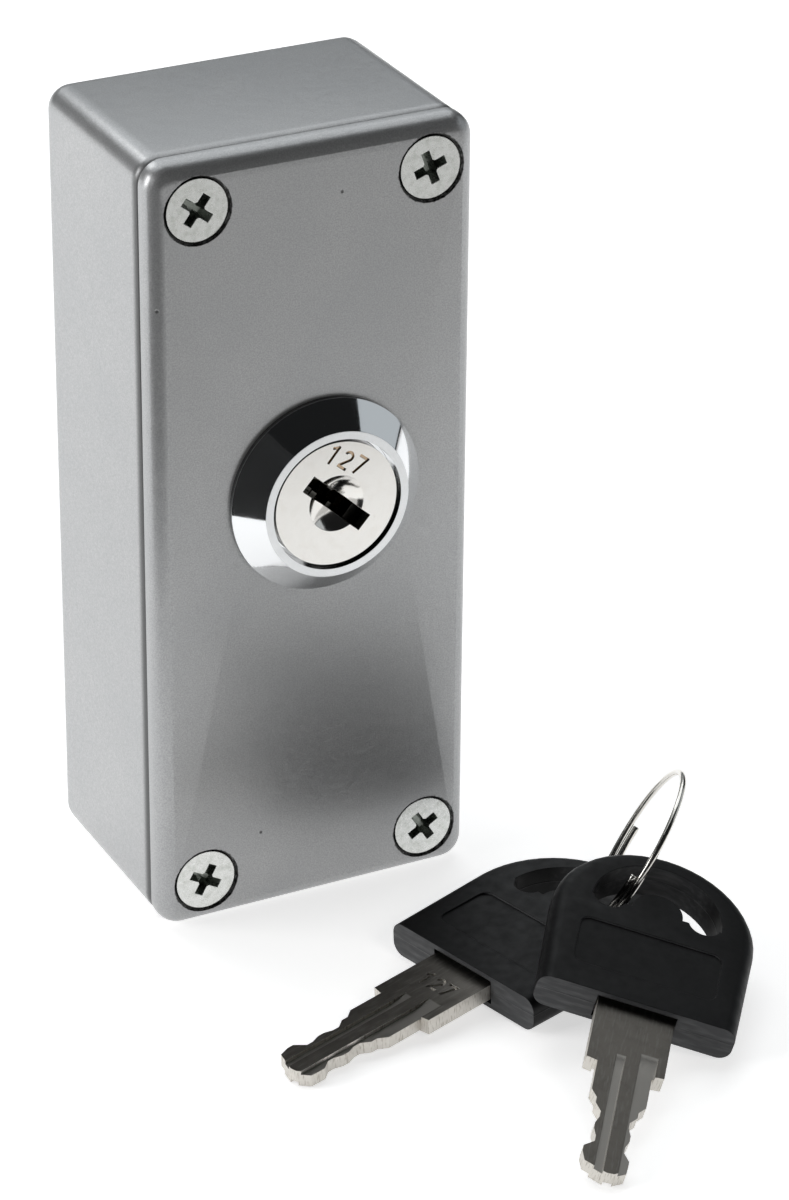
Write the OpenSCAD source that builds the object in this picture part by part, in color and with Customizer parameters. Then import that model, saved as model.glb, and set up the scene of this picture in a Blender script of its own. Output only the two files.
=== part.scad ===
// Key operated selector switch in a small die cast box, with its two keys on a split ring.
// Row frame: +Z up, the lid faces -Y, the origin is the centre of the back (wall) face.

/* [Enclosure] */
// Height of the box, from end to end
box_h = 92; // [88:0.5:100]
// Width of the lid
box_w = 38.4; // [37.6:0.1:40]
// Depth over the base and the lid
box_d = 29.1; // [29.1:0.1:32]
// Depth of the lid's rim
lid_d = 3; // [2.8:0.1:3.4]
// Thickness of the lid's plate
lid_plate_t = 2.3; // [2:0.1:2.4]
// Radius of the upright corners
corner_r = 2.8; // [2.6:0.1:4]
// Radius of the lid's front edge
lid_edge_r = 2.2; // [1:0.1:2.4]
// Thickness of the side walls
wall_t = 2.2; // [1.8:0.1:2.4]
// Thickness of the back wall
back_t = 2.2; // [1.8:0.1:2.4]
// How much each side of the base draws in towards the back
draft = 0.05; // [0:0.05:0.6]
// Half the distance between the lid screws, across
screw_x = 13.7; // [13.4:0.1:14]
// Half the distance between the lid screws, up and down
screw_z = 40.6; // [40:0.1:41]
// Distance between the two wall fixing holes
fixing_pitch = 75; // [74:0.5:76]
// Radius of the wall fixing holes
fixing_r = 2.25; // [2:0.05:2.6]
// Height of the cable entry above the middle
entry_z = 24; // [23.5:0.1:24.3]
// Radius of the grommet's bore
entry_r = 4; // [3:0.1:4.5]

/* [Lock] */
// Lock axis, across from the middle of the lid
lock_x = 0.9; // [0:0.1:1]
// Lock axis, up from the middle of the lid
lock_z = 4.9; // [4.5:0.1:5.2]
// Outer radius of the conical bezel
bezel_r = 11.35; // [11:0.05:12]
// Outer radius of the flat front ring
ring_face_r = 8.75; // [8.6:0.05:9]
// Height of the bezel over the lid
bezel_h = 3.5; // [3:0.1:4]
// Outer radius of the barrel's thread
thread_r = 9.4; // [9.2:0.05:9.5]
// Half the distance across the barrel's two flats
flat_half = 8.3; // [8.2:0.05:8.5]
// Length of the barrel behind the lid's front face
barrel_l = 18; // [17.9:0.1:18.1]
// Radius of the plug's face
plug_face_r = 7.3; // [7.2:0.05:7.4]
// Radius of the plug's shaft
plug_r = 6.6; // [6.5:0.05:6.6]
// Slope of the keyway at rest, clockwise from level
rest_slot_angle = 42; // [40:1:45]
// How far the key turns the plug
turn = 90; // [90:1:90]
// Number of wafers in the plug
wafer_count = 7; // [4:1:7]

/* [Microswitch] */
// Length of the switch case
switch_l = 27.8; // [27:0.1:28]
// Height of the switch case
switch_h = 15.9; // [15.5:0.1:16]
// Thickness of the switch case
switch_t = 10.3; // [10:0.1:10.3]
// Height of the case's top face in the row frame
switch_top_z = -11.3; // [-11.5:0.1:-11.3]
// How far the cam lifts the lever's bump over the full turn
cam_rise = 1; // [0.6:0.1:1]

/* [Keys] */
// Width of the plastic bow
bow_w = 22.2; // [21:0.1:23]
// Length of the plastic bow
bow_l = 25.4; // [25:0.1:27]
// Thickness of the plastic bow
bow_t = 4.2; // [4:0.1:4.4]
// Length of the blade in front of the bow
blade_l = 25.6; // [25.2:0.1:25.8]
// Width of the blade's root
root_w = 8.6; // [8.4:0.1:8.8]
// Length of the blade's root in front of the bow
root_l = 9.2; // [9:0.1:9.4]
// Width of the uncut blade beyond the root
blade_w = 6.1; // [5.9:0.1:6.2]
// Thickness of the blade
blade_t = 1.9; // [1.8:0.05:2]

/* [Split ring] */
// Radius of the ring's centre line
ring_r = 9.75; // [9.4:0.05:10]
// Radius of the ring's wire
wire_r = 0.38; // [0.34:0.01:0.4]
// How far the ring's wire winds round
wire_turn = 535; // [480:5:540]

/* [Hidden] */
$fn = 64;
eps = 0.01;
hull_fn = 32;

// Enclosure
base_step = 0.05;
base_edge_r = 2.6;
base_rim_r = 1.4;
inner_w = box_w - 2 * base_step - 2 * wall_t;
inner_h = box_h - 2 * base_step - 2 * wall_t;
post_r = 3.9;
lid_screw_r = 1.7;
lid_head_r = 3.55;
sink_r = 3.92;
sink_depth = 0.5;
head_depth = 0.25;
rib_t = 1.2;
rib_gap = 0.25;
entry_hole_r = 6.2;
entry_sink_r = 8.3;
entry_sink = 1.5;
earth_pos = [-12.6, 15.5];

// Stamped digits
stroke_w = 0.32;
stroke_depth = 0.2;

// Keys: along the blade is +X, the bow is behind X = 0
bow_arc_r = 11.5;
bow_arc_x = bow_arc_r - bow_l;
bow_edge_r = 1.5;
slot_x = -15.4;
slot_outer_r = 7.4;
slot_inner_r = 2.9;
slot_end = [-15.9, 5.4];
slot_end_r = 1.85;
cut_start = 11.6;
cut_pitch = 1.9;
cut_step = 0.35;
cut_flat = 0.42;
left_cuts = [0, 0, 2, 4, 3, 4, 2];
right_cuts = [0, 0, 2, 4, 3, 4, 1];
groove_depth = 0.45;
groove_cutter_r = 12;
embedded = 8;
// Where the keys and the ring lie: centre of the bow's front face, then heading, pitch and roll
key_1_pos = [4.88, -55.74, -43.39];
key_1_turn = [196.3, 3.4, -1.1];
key_2_pos = [15.7, -74.7, -40.87];
key_2_turn = [233.4, 8.3, -15.1];
ring_pos = [30.12, -49.54, -36.91];
ring_azimuth = 144;
ring_tilt = 29;
ring_steps = 72;
wire_sides = 8;
overlap = wire_turn - 360;
ring_start = 285 - overlap / 2;

// Lock. Depths are measured from the lid's front face, into the box.
plug_face_depth = 0.3 - bezel_h;
shoulder_depth = -1.2;
bore_r = plug_r + 0.08;
counterbore_r = plug_face_r + 0.4;
bracket_t = 1.2;
bracket_depth = lid_plate_t;
washer_t = 1;
washer_depth = bracket_depth + bracket_t;
nut_t = 3;
nut_depth = washer_depth + washer_t;
dimple_r = 3.3;
dimple_depth = 1.1;
keyway_w = 2.1;
keyway_long = 9.1;
key_stop_depth = plug_face_depth + 2;
ward_depth = key_stop_depth + 1.6;
keyway_end = key_stop_depth + blade_l - root_l + 0.3;
wafer_t = 1;
wafer_pitch = cut_pitch;
wafer_start = key_stop_depth + cut_start - root_l - wafer_t / 2;
wafer_half_l = 5.9;
wafer_half_w = 2.7;
wafer_travel = 0.8;
tail_r = 3.6;
tail_flat = 2.6;
stud_r = 2.5;
stop_depth = barrel_l + 0.1;
stop_t = 0.9;
stop_arm = 12;
stop_angle = -135 - rest_slot_angle;
cam_depth = stop_depth + stop_t;
cam_t = 1.6;
cam_nut_depth = cam_depth + cam_t;
cam_nut_t = 3;
cam_low_r = 10;
cam_hub_r = 5.2;

// Microswitch, in row frame millimetres
switch_front_y = bracket_depth + 11.1 - box_d;
switch_back_y = switch_front_y + switch_t;
switch_mid_y = (switch_front_y + switch_back_y) / 2;
switch_mid_z = switch_top_z - switch_h / 2;
switch_bottom_z = switch_top_z - switch_h;
cover_t = 2;
case_wall = 1.5;
cover_y = switch_back_y - cover_t;
fix_dx = 11.1;
fix_dz = 5.15;
lever_pivot = [-12.6, switch_top_z + 0.8];
lever_strip_z = switch_top_z + 1.2;
lever_t = 0.4;
lever_w = 4.4;
bump_r = 1.6;
bump_top_z = lock_z - cam_low_r - 0.08;
plunger_x = -3.5;
plunger_r = 1.3;
tip_r = 0.5;
blade_pivot = [-8.9, switch_top_z - 4.9];
terminal_x = 8.4;
screw_boss_r = 2.15;
contact_x = 6.2;
contact_r = 1.3;
contact_t = 0.5;
blade_swing = 7.1;
switch_blade_t = 0.3;

// Placing

module in_lid() {
    translate([0, -box_d, 0]) rotate([-90, 0, 0]) children();
}

module in_lock() {
    translate([lock_x, -box_d, lock_z]) rotate([-90, 0, 0]) children();
}

module in_rotor() {
    in_lock() rotate([0, 0, rest_slot_angle]) children();
}

module at_key(pos, turns) {
    translate(pos) rotate([0, 0, turns[0]]) rotate([0, turns[1], 0]) rotate([turns[2], 0, 0]) children();
}

module four(x, y) {
    for (sx = [-1, 1], sy = [-1, 1]) translate([sx * x, sy * y, 0]) children();
}

// Runs a solid of the given section along Y, from y0 to y1, with the section drawn in X and Z
module along_y(y0, y1) {
    translate([0, y1, 0]) rotate([90, 0, 0]) linear_extrude(y1 - y0) children();
}

// Shapes that repeat

module rounded_rect(w, h, r) {
    square([w - 2 * r, h], center = true);
    square([w, h - 2 * r], center = true);
    four(w / 2 - r, h / 2 - r) circle(r);
}

// A disc whose edge is rounded at its lower end
module corner_pad(r, edge_r, h) {
    arc = [for (a = [0:15:90]) [r - edge_r + edge_r * sin(a), edge_r - edge_r * cos(a)]];
    rotate_extrude($fn = hull_fn) polygon(concat([[0, 0]], arc, [[r, h], [0, h]]));
}

module double_d(r, half) {
    intersection() {
        circle(r);
        square([2 * r + 1, 2 * half], center = true);
    }
}

module cross_recess(span, w, depth) {
    linear_extrude(depth, scale = 0.55) {
        square([span, w], center = true);
        square([w, span], center = true);
        rotate(45) square(1.7 * w, center = true);
    }
}

// Strokes of the stamped digits: they reach from above the surface to the stroke's depth below it
module bar(p, q) {
    run = norm(q - p);
    translate([p[0], p[1], -1]) rotate([0, 0, atan2(q[1] - p[1], q[0] - p[0])])
        translate([-stroke_w / 2, -stroke_w / 2, 0]) cube([run + stroke_w, stroke_w, 1 + stroke_depth]);
}

module bow_stroke(centre, r, from, to) {
    translate([centre[0], centre[1], -1]) rotate([0, 0, from]) rotate_extrude(angle = to - from)
        translate([r - stroke_w / 2, 0]) square([stroke_w, 1 + stroke_depth]);
}

// The digits 1, 2 and 7 in a row, stepped along X and Y, seen from above with the surface at Z = 0
module digits(step) {
    mirror([0, 1, 0]) {
        translate(-step) translate([-0.5, -1.1, 0]) {
            bar([0.1, 1.75], [0.6, 2.1]);
            bar([0.6, 0.1], [0.6, 2.1]);
        }
        translate([-0.6, -1.1, 0]) {
            bow_stroke([0.6, 1.55], 0.5, -40, 170);
            bar([0.2, 0.25], [0.98, 1.23]);
            bar([0.15, 0.1], [1.1, 0.1]);
        }
        translate(step) translate([-0.6, -1.1, 0]) {
            bar([0.1, 2.05], [1.1, 2.05]);
            bar([1.1, 2.05], [0.5, 0.1]);
        }
    }
}

// A screw pointing along +Z, with its head's top at Z = 0
module countersunk_screw(head_r, shank_r, rim, length) {
    difference() {
        union() {
            cylinder(h = rim, r = head_r);
            translate([0, 0, rim]) cylinder(h = head_r - shank_r, r1 = head_r, r2 = shank_r);
            cylinder(h = length, r = shank_r);
        }
        translate([0, 0, -eps]) cross_recess(3.9, 1.05, 1.5);
    }
}

module pan_screw(head_r, head_h, shank_r, length) {
    difference() {
        union() {
            cylinder(h = head_h, r1 = head_r - 0.3, r2 = head_r);
            cylinder(h = length, r = shank_r);
        }
        translate([0, 0, -eps]) cross_recess(head_r * 1.2, 0.8, head_h * 0.7);
    }
}

module hex_nut(across_flats, r, h) {
    difference() {
        cylinder(h = h, r = across_flats / sqrt(3), $fn = 6);
        translate([0, 0, -1]) cylinder(h = h + 2, r = r);
    }
}

// Enclosure

module cavity_2d() {
    difference() {
        rounded_rect(inner_w, inner_h, 2);
        four(screw_x, screw_z) circle(post_r);
        for (sx = [-1, 1], sy = [-1, 1]) scale([sx, sy]) {
            translate([screw_x, screw_z - post_r]) square([10, 20]);
            translate([screw_x - post_r, screw_z]) square([20, 10]);
        }
    }
}

module base_outside() {
    w = box_w / 2 - base_step - corner_r;
    h = box_h / 2 - base_step - corner_r;
    hull() {
        translate([0, 0, lid_d]) four(w, h) corner_pad(corner_r, base_rim_r, base_rim_r + 0.5);
        translate([0, 0, box_d]) mirror([0, 0, 1]) four(w - draft, h - draft)
            corner_pad(corner_r, base_edge_r, base_edge_r + 1);
    }
}

module enclosure_base() {
    inside_back = box_d - back_t;
    color("#8d9296") in_lid() difference() {
        union() {
            difference() {
                base_outside();
                translate([0, 0, lid_d - 1]) linear_extrude(inside_back - lid_d + 1) cavity_2d();
            }
            translate([0, -entry_z, inside_back - entry_sink]) cylinder(h = entry_sink + 1, r = entry_sink_r + 1.4);
            translate([earth_pos[0], -earth_pos[1], inside_back - 2.5]) cylinder(h = 3, r = 3);
        }
        translate([0, 0, lid_d - 1]) four(screw_x, screw_z) cylinder(h = 14, r = lid_screw_r + 0.05);
        for (s = [-1, 1]) translate([0, s * fixing_pitch / 2, box_d - back_t - 1]) cylinder(h = back_t + 2, r = fixing_r);
        translate([0, -entry_z, box_d - 8]) cylinder(h = 9, r = entry_hole_r + 0.05);
        translate([0, -entry_z, box_d - entry_sink]) cylinder(h = entry_sink + 1, r = entry_sink_r + 0.05);
        translate([earth_pos[0], -earth_pos[1], inside_back - 3]) cylinder(h = 4, r = 1.55);
    }
}

module lid_outside() {
    hull() four(box_w / 2 - corner_r, box_h / 2 - corner_r) corner_pad(corner_r, lid_edge_r, lid_d);
}

module lid() {
    rib_w = inner_w - 2 * rib_gap;
    color("#8d9296") in_lid() difference() {
        union() {
            difference() {
                lid_outside();
                translate([0, 0, lid_plate_t]) linear_extrude(lid_d) cavity_2d();
            }
            for (s = [-1, 1]) translate([s * (rib_w - rib_t) / 2, 0, lid_plate_t + 1.1])
                cube([rib_t, 62, 2.4], center = true);
        }
        four(screw_x, screw_z) {
            translate([0, 0, -1]) cylinder(h = lid_d + 2, r = 2);
            translate([0, 0, -1]) cylinder(h = 1 + sink_depth, r = sink_r);
            translate([0, 0, sink_depth - eps]) cylinder(h = 1.7, r1 = 3.7, r2 = 2);
        }
        translate([lock_x, -lock_z, -1]) linear_extrude(lid_d + 2) double_d(thread_r + 0.1, flat_half + 0.1);
    }
}

module lid_screws() {
    turns = [37.5, 70, 58.4, 28.8];
    color("#d5d8d8") in_lid() for (i = [0:3])
        translate([screw_x * [-1, 1, 1, -1][i], screw_z * [-1, -1, 1, 1][i], head_depth])
            rotate([0, 0, turns[i]]) countersunk_screw(lid_head_r, lid_screw_r, 0.3, 11.5);
}

module cable_grommet() {
    outer = box_d - 0.05;
    color("#1d1e20") in_lid() translate([0, -entry_z, 0]) difference() {
        union() {
            translate([0, 0, outer - entry_sink + 0.05]) cylinder(h = entry_sink - 0.05, r = entry_sink_r);
            translate([0, 0, outer - 6]) cylinder(h = 6, r = entry_hole_r);
            translate([0, 0, box_d - back_t - entry_sink - 1.55]) cylinder(h = 1.5, r = entry_sink_r);
        }
        translate([0, 0, box_d - 10]) cylinder(h = 12, r = entry_r);
    }
}

module earth_tag() {
    color("#d8c27a") in_lid() translate([earth_pos[0], -earth_pos[1], box_d - back_t - 3.3])
        linear_extrude(0.8) difference() {
            union() {
                circle(3);
                translate([-1.5, -9]) square([3, 8]);
                translate([0, -9]) circle(1.5);
            }
            circle(1.65);
            translate([0, -8.6]) circle(0.7);
        }
}

module earth_screw() {
    color("#d5d8d8") in_lid() translate([earth_pos[0], -earth_pos[1], box_d - back_t - 5.3])
        pan_screw(2.8, 2, 1.5, 5.6);
}

// Lock

module lock_barrel() {
    crest = [for (i = [0:14]) each [[thread_r, 2.9 + i], [thread_r - 0.45, 3.4 + i]]];
    color("#c9ced2") in_lock() difference() {
        rotate_extrude() polygon(concat(
            [[counterbore_r, -bezel_h], [ring_face_r - 0.15, -bezel_h], [ring_face_r, -bezel_h + 0.15],
             [bezel_r, -0.6], [bezel_r, 0], [thread_r, 0]],
            crest,
            [[thread_r - 0.4, barrel_l], [bore_r, barrel_l], [bore_r, shoulder_depth],
             [counterbore_r, shoulder_depth]]));
        for (s = [-1, 1]) translate([-15, s * (flat_half + 5) - 5, 0]) cube([30, 10, barrel_l + 1]);
        for (a = [0, 90]) rotate([0, 0, rest_slot_angle + a]) translate([0, 0, wafer_start - 0.3 + barrel_l / 2])
            cube([2 * (wafer_half_l + wafer_travel + 0.35), 2 * wafer_half_w + 0.3, barrel_l], center = true);
    }
    color("#c9ced2") in_rotor() for (a = [stop_angle - stop_arm - 21, stop_angle + turn + stop_arm + 1])
        translate([0, 0, barrel_l]) rotate([0, 0, a]) rotate_extrude(angle = 20)
            translate([bore_r + 0.2, 0]) square([1.9, stop_t]);
}

module lock_washer() {
    color("#b9bdbf") in_lock() translate([0, 0, washer_depth]) linear_extrude(washer_t) {
        difference() {
            circle(12);
            circle(10.3);
        }
        for (i = [0:11]) rotate(i * 30) translate([9.5, -0.8]) square([1.2, 1.6]);
    }
}

module lock_nut() {
    color("#b9bdbf") in_lock() translate([0, 0, nut_depth]) rotate([0, 0, 30]) hex_nut(22, thread_r + 0.05, nut_t);
}

// Profile of the bracket in depth (X) and down (Y): a plate behind the lid, a shelf and a plate for the switch
module bracket_profile() {
    fold_y = 15.4;
    shelf_end = 13.4;
    inner = 0.8;
    outer = inner + bracket_t;
    translate([bracket_depth, -12.6]) square([bracket_t, fold_y - outer + 12.6]);
    translate([bracket_depth + outer, fold_y - bracket_t]) square([shelf_end - bracket_depth - 2 * outer, bracket_t]);
    translate([shelf_end - bracket_t, fold_y - bracket_t + outer]) square([bracket_t, 19.5 - outer]);
    intersection() {
        translate([bracket_depth + outer, fold_y - outer]) difference() {
            circle(outer);
            circle(inner);
        }
        translate([bracket_depth, fold_y - outer]) square(outer);
    }
    intersection() {
        translate([shelf_end - outer, fold_y - bracket_t + outer]) difference() {
            circle(outer);
            circle(inner);
        }
        translate([shelf_end - outer, fold_y - bracket_t]) square(outer);
    }
}

module switch_bracket() {
    color("#c3c6c8") difference() {
        in_lock() rotate([0, -90, 0]) linear_extrude(27, center = true) bracket_profile();
        in_lock() linear_extrude(8) double_d(thread_r + 0.15, flat_half + 0.15);
        for (s = [-1, 1]) translate([s * fix_dx, switch_front_y - 2, switch_mid_z + s * fix_dz])
            rotate([-90, 0, 0]) cylinder(h = 4, r = 1.6);
    }
}

// Microswitch

module switch_holes() {
    for (s = [-1, 1]) translate([s * fix_dx, switch_front_y - 1, switch_mid_z + s * fix_dz])
        rotate([-90, 0, 0]) cylinder(h = switch_t + 2, r = 1.55);
}

module switch_case() {
    color("#26282b") difference() {
        along_y(switch_front_y, cover_y - 0.02) translate([0, switch_mid_z]) rounded_rect(switch_l, switch_h, 0.8);
        along_y(switch_front_y + case_wall, cover_y + 1) difference() {
            translate([0, switch_top_z - 8.2]) square([18.8, 12.6], center = true);
            for (s = [-1, 1]) translate([s * fix_dx, switch_mid_z + s * fix_dz]) circle(screw_boss_r);
        }
        switch_holes();
        translate([plunger_x, switch_mid_y, switch_top_z - 4]) cylinder(h = 6, r = plunger_r + 0.1);
        for (s = [-1:1]) translate([s * terminal_x, switch_mid_y, switch_bottom_z]) cube([0.7, 4.85, 8], center = true);
    }
}

module switch_cover() {
    color("#34373a") difference() {
        along_y(cover_y, switch_back_y) translate([0, switch_mid_z]) rounded_rect(switch_l, switch_h, 0.8);
        switch_holes();
    }
}

module switch_screws() {
    color("#d5d8d8") for (s = [-1, 1])
        translate([s * fix_dx, switch_front_y - bracket_t - 2, switch_mid_z + s * fix_dz])
            rotate([-90, 0, 0]) pan_screw(2.7, 2, 1.48, 16);
}

module switch_nuts() {
    color("#d5d8d8") for (s = [-1, 1])
        translate([s * fix_dx, switch_back_y, switch_mid_z + s * fix_dz])
            rotate([-90, 0, 0]) hex_nut(5.5, 1.52, 2.2);
}

// A tab that leaves the case's bottom, with its crimp hole
module terminal_tab(x, top_z) {
    difference() {
        translate([x - 0.3, switch_mid_y - 2.375, switch_bottom_z - 6.8]) cube([0.6, 4.75, top_z - switch_bottom_z + 6.8]);
        translate([x - 1, switch_mid_y, switch_bottom_z - 4]) rotate([0, 90, 0]) cylinder(h = 2, r = 0.8);
    }
}

module contact_pad(z) {
    translate([contact_x, switch_mid_y, z]) cylinder(h = contact_t, r = contact_r);
}

module terminal_common() {
    pivot_z = blade_pivot[1] - 0.4;
    color("#c8a24a") {
        terminal_tab(-terminal_x, pivot_z - 0.6);
        translate([blade_pivot[0] - 0.3, switch_mid_y - 2.375, pivot_z - 0.8]) cube([1.1, 4.75, 0.8]);
    }
}

module terminal_normally_closed() {
    top = blade_pivot[1] + switch_blade_t / 2 + contact_t + 0.06;
    color("#c8a24a") {
        terminal_tab(terminal_x, top + contact_t + 0.6);
        translate([contact_x - 1.4, switch_mid_y - 2.375, top + contact_t])
            cube([terminal_x + 0.3 - contact_x + 1.4, 4.75, 0.6]);
        contact_pad(top);
    }
}

module terminal_normally_open() {
    drop = (contact_x - blade_pivot[0]) * tan(blade_swing);
    top = blade_pivot[1] - switch_blade_t / 2 - contact_t - drop - 0.25;
    color("#c8a24a") {
        terminal_tab(0, top - contact_t - 0.3);
        translate([-0.3, switch_mid_y - 2.375, top - contact_t - 0.6]) cube([contact_x + 1.7, 4.75, 0.6]);
        contact_pad(top - contact_t);
    }
}

module plunger() {
    bottom = blade_pivot[1] + switch_blade_t / 2 + 0.04;
    top = lever_strip_z - lever_t / 2 - 0.04;
    collar_z = switch_top_z - 2.8;
    color("#b4262a") translate([plunger_x, switch_mid_y, 0]) {
        translate([0, 0, bottom + tip_r]) sphere(tip_r);
        translate([0, 0, bottom + tip_r]) cylinder(h = collar_z - bottom, r = tip_r);
        translate([0, 0, collar_z]) cylinder(h = 0.8, r = plunger_r + 0.6);
        translate([0, 0, collar_z]) cylinder(h = top - plunger_r - collar_z, r = plunger_r);
        translate([0, 0, top - plunger_r]) sphere(plunger_r);
    }
}

// The lever's end, bent up into a round bump that stands in for a roller
module bump_2d() {
    rise = bump_top_z - bump_r - lever_strip_z;
    intersection() {
        difference() {
            circle(bump_r);
            circle(bump_r - lever_t);
        }
        translate([-bump_r, 0]) square(2 * bump_r);
    }
    translate([-bump_r, -rise - lever_t / 2]) square([lever_t, rise + lever_t / 2]);
    translate([bump_r - lever_t, -rise + 0.8]) square([lever_t, rise - 0.8]);
}

module actuating_lever() {
    y0 = switch_mid_y - lever_w / 2;
    color("#cfd2d3") difference() {
        along_y(y0, y0 + lever_w) {
            translate([lever_pivot[0], lever_strip_z - lever_t / 2])
                square([lock_x - bump_r + lever_t - lever_pivot[0], lever_t]);
            translate([lock_x, bump_top_z - bump_r]) bump_2d();
            translate(lever_pivot) circle(0.75);
        }
        translate([lever_pivot[0], y0 - 1, lever_pivot[1]]) rotate([-90, 0, 0]) cylinder(h = lever_w + 2, r = 0.3);
    }
}

module contact_blade() {
    length = contact_x + 1.6 - blade_pivot[0];
    color("#d9a55a") difference() {
        translate([blade_pivot[0], switch_mid_y - 2, blade_pivot[1] - switch_blade_t / 2]) cube([length, 4, switch_blade_t]);
        translate([-1.5, switch_mid_y - 1, blade_pivot[1] - 1]) cube([6.5, 2, 2]);
        translate([contact_x, switch_mid_y, blade_pivot[1] - 1]) cylinder(h = 2, r = 0.62);
    }
}

module moving_contact() {
    color("#e6e6e2") translate([contact_x, switch_mid_y, blade_pivot[1]]) {
        translate([0, 0, switch_blade_t / 2]) cylinder(h = contact_t, r = contact_r - 0.1);
        translate([0, 0, -switch_blade_t / 2 - contact_t]) cylinder(h = contact_t, r = contact_r - 0.1);
        cylinder(h = 1, r = 0.6, center = true);
    }
}

// Plug and what turns with it. Across the lock, +X runs along the keyway.

// Section of the blade, with half its width and the gap round it
module blade_section(half_w, gap) {
    difference() {
        square([2 * (half_w + gap), blade_t + 2 * gap], center = true);
        for (a = [0, 180]) rotate(a) {
            translate([-1.17 + gap, blade_t / 2 - groove_depth + gap]) square([1 - 2 * gap, 2]);
            translate([1.4 + gap, blade_t / 2 - groove_depth + gap]) square([10, 2]);
        }
    }
}

module plug() {
    color("#d6d3cc") in_rotor() difference() {
        union() {
            translate([0, 0, plug_face_depth]) cylinder(h = shoulder_depth - 0.08 - plug_face_depth, r = plug_face_r);
            translate([0, 0, -1.4]) cylinder(h = barrel_l + 1.4, r = plug_r);
            translate([0, 0, barrel_l - 1]) linear_extrude(cam_nut_depth - barrel_l + 0.9) double_d(tail_r, tail_flat);
            translate([0, 0, barrel_l]) cylinder(h = cam_nut_depth - barrel_l + cam_nut_t + 0.8, r = stud_r);
        }
        dimple_ball = (dimple_r * dimple_r + dimple_depth * dimple_depth) / (2 * dimple_depth);
        translate([0, 0, plug_face_depth - dimple_ball + dimple_depth]) sphere(dimple_ball, $fn = 96);
        translate([0, 0, plug_face_depth - 1]) linear_extrude(key_stop_depth - plug_face_depth + 1)
            square([keyway_long, keyway_w], center = true);
        translate([0, 0, key_stop_depth - eps]) linear_extrude(ward_depth - key_stop_depth + 2 * eps)
            square([blade_w + 0.2, keyway_w], center = true);
        translate([0, 0, ward_depth]) linear_extrude(keyway_end - ward_depth) blade_section(blade_w / 2, 0.1);
        rotate([0, 0, -rest_slot_angle]) translate([1.2, -5, plug_face_depth]) rotate([0, 0, 40])
            digits([1.8, 0.3, 0]);
        for (i = [0:wafer_count - 1]) wafer_place(i) {
            translate([0, 0, wafer_t / 2]) cube([20, 2 * wafer_half_w + 0.1, wafer_t + 0.1], center = true);
            translate([-2.5, 0, -0.05]) cube([5.6, 4.2, wafer_t + 0.1]);
        }
    }
}

// Wafers point to one side and the other in turn
module wafer_place(i) {
    translate([0, 0, wafer_start + wafer_pitch * i]) rotate([0, 0, 180 * (i % 2)]) children();
}

module wafer(i) {
    color("#c9a75c") in_rotor() wafer_place(i) linear_extrude(wafer_t) difference() {
        union() {
            square([2 * wafer_half_l, 2 * wafer_half_w], center = true);
            translate([1, 0]) square([1.2, 4]);
        }
        square([blade_w + 0.4, keyway_w + 0.2], center = true);
    }
}

// Closes a tube round a list of rings, each with the same number of points
module skin(rings) {
    n = len(rings[0]);
    last = (len(rings) - 1) * n;
    sides = [for (i = [0:len(rings) - 2], j = [0:n - 1])
        let (a = i * n + j, b = i * n + (j + 1) % n) each [[a, b, b + n], [a, b + n, a + n]]];
    caps = [[for (j = [n - 1:-1:0]) j], [for (j = [0:n - 1]) last + j]];
    polyhedron([for (ring = rings) each ring], concat(sides, caps), convexity = 6);
}

// A spring of round wire that stands between the pocket's end and the wafer's lug
module wafer_spring(i) {
    coil_r = 0.36;
    coil_wire_r = 0.1;
    turns = 4;
    steps = 10;
    rise = 3.4 - 2 * coil_wire_r;
    rings = [for (k = [0:turns * steps]) [for (j = [0:4])
        let (a = 360 * k / steps, r = coil_r + coil_wire_r * cos(72 * j))
        [r * cos(a), r * sin(a), coil_wire_r + rise * k / turns / steps + coil_wire_r * sin(72 * j)]]];
    in_rotor() wafer_place(i) translate([-2.45, 3.35, wafer_t / 2]) rotate([0, 90, 0]) skin(rings);
}

module springs_odd() {
    color("#b9bdbf") for (i = [0:2:wafer_count - 1]) wafer_spring(i);
}

module springs_even() {
    color("#b9bdbf") for (i = [1:2:wafer_count - 1]) wafer_spring(i);
}

module stop_washer() {
    color("#b9bdbf") in_rotor() translate([0, 0, stop_depth]) linear_extrude(stop_t - 0.1) difference() {
        union() {
            circle(6.2);
            intersection() {
                circle(8.7);
                polygon(concat([[0, 0]], [for (a = [-stop_arm:stop_arm / 2:stop_arm])
                    12 * [cos(stop_angle + a), sin(stop_angle + a)]]));
            }
        }
        double_d(tail_r + 0.04, tail_flat + 0.04);
    }
}

// Radius of the cam at an angle clockwise from level, at rest. The lever's bump lies straight below the axis.
function cam_radius(a) = cam_low_r + cam_rise * min(max(90 - a, 0), turn) / turn;

module cam() {
    color("#c3c6c8") in_lock() translate([0, 0, cam_depth]) linear_extrude(cam_t - 0.1) difference() {
        union() {
            circle(cam_hub_r);
            polygon(concat([[0, 0]], [for (a = [-15:3:105]) cam_radius(a) * [cos(a), sin(a)]]));
        }
        rotate(rest_slot_angle) double_d(tail_r + 0.04, tail_flat + 0.04);
    }
}

module cam_nut() {
    color("#b9bdbf") in_rotor() translate([0, 0, cam_nut_depth]) hex_nut(8, stud_r + 0.03, cam_nut_t);
}

// Keys

module bow_slot_2d() {
    for (s = [-1, 1]) translate([slot_end[0], s * slot_end[1]]) circle(slot_end_r);
    intersection() {
        translate([slot_x, 0]) difference() {
            circle(slot_outer_r);
            circle(slot_inner_r);
        }
        translate([slot_x - 10, -10]) square([10.1, 20]);
    }
}

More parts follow.
